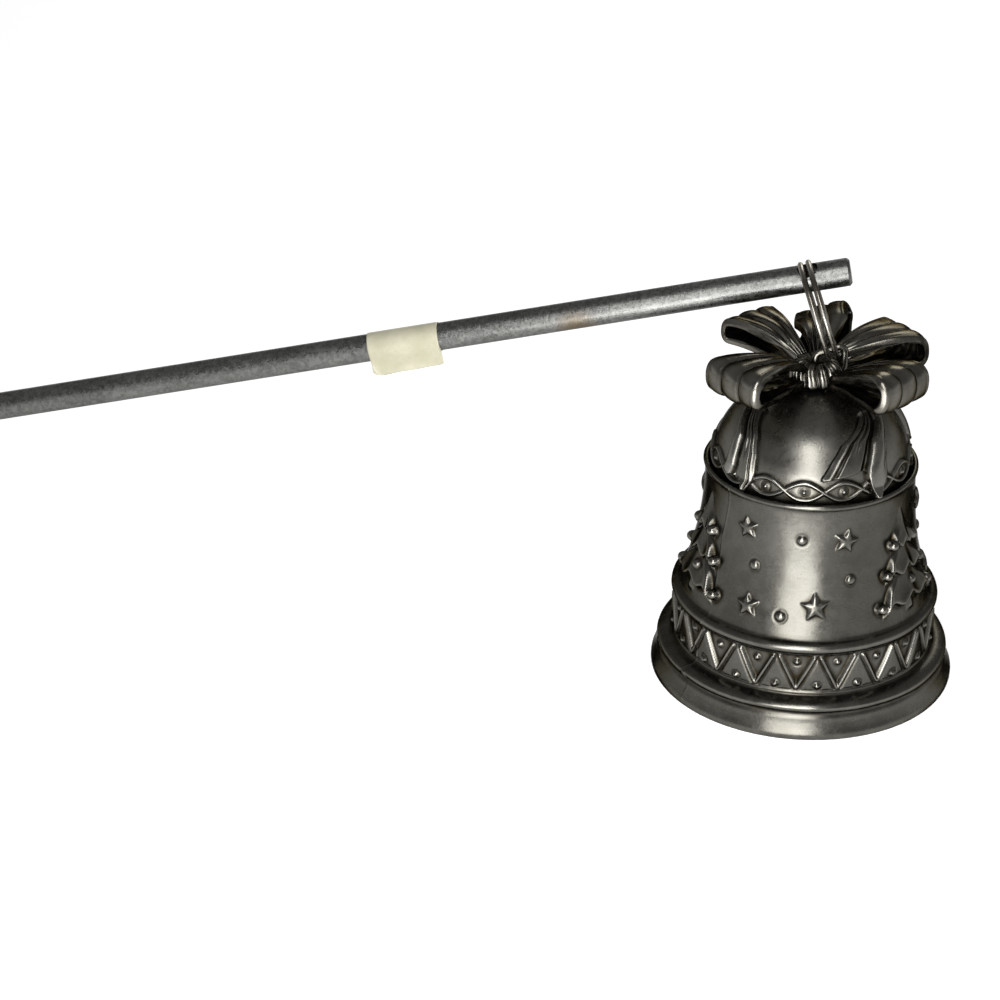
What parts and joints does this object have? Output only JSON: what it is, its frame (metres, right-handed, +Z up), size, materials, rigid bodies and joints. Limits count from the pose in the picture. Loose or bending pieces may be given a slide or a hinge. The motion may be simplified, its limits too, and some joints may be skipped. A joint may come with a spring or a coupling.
{
  "type": "candle snuffer",
  "caption": "Bell-shaped candle snuffer: a hollow cast bell with a ribbon bow on its crown, hung by a split ring from a long plain rod.",
  "frame": {"origin": "centre of the bell's open mouth, in the plane of its rim", "axes": "+Z up through the bow, -Y the front of the bell, +X towards the rod's near end, so the rod runs away to -X"},
  "size_m": [0.2901, 0.0575, 0.0625],
  "materials": {
    "pewter": "antique pewter look: dark satin cast metal, polished on its high places and darker in its recesses",
    "ring_steel": "smooth drawn wire, lightly tarnished",
    "rod_aluminium": "satin drawn bar with fine scratches",
    "label_paper": "bare cream paper with a faint gloss, no print"
  },
  "bodies": {
    "bell": {"bell_cup": "pewter", "crown_dome": "pewter", "ribbon_tail_front_right": "pewter", "ribbon_tail_right": "pewter", "ribbon_tail_back": "pewter", "ribbon_tail_left": "pewter", "bow_knot": "pewter", "bow_loop_front_left": "pewter", "bow_loop_front_right": "pewter", "bow_loop_right": "pewter", "bow_loop_rear": "pewter", "bow_loop_left": "pewter", "hanging_eye": "ring_steel"},
    "ring": {"split_ring": "ring_steel"},
    "rod": {"handle_rod": "rod_aluminium", "paper_label": "label_paper"}
  },
  "joints": [
    {"name": "ring_swing", "type": "hinge", "parent": "bell", "child": "ring", "pos_m": [0.00177, -0.00066, 0.05077], "axis": [0.9472, 0, 0.3206], "range_deg": [0, 56]},
    {"name": "rod_turn", "type": "hinge", "parent": "ring", "child": "rod", "pos_m": [-0.00058, 0.00825, 0.05771], "axis": [-0.223, -0.3603, 0.9058], "range_deg": [-30, 12]}
  ]
}
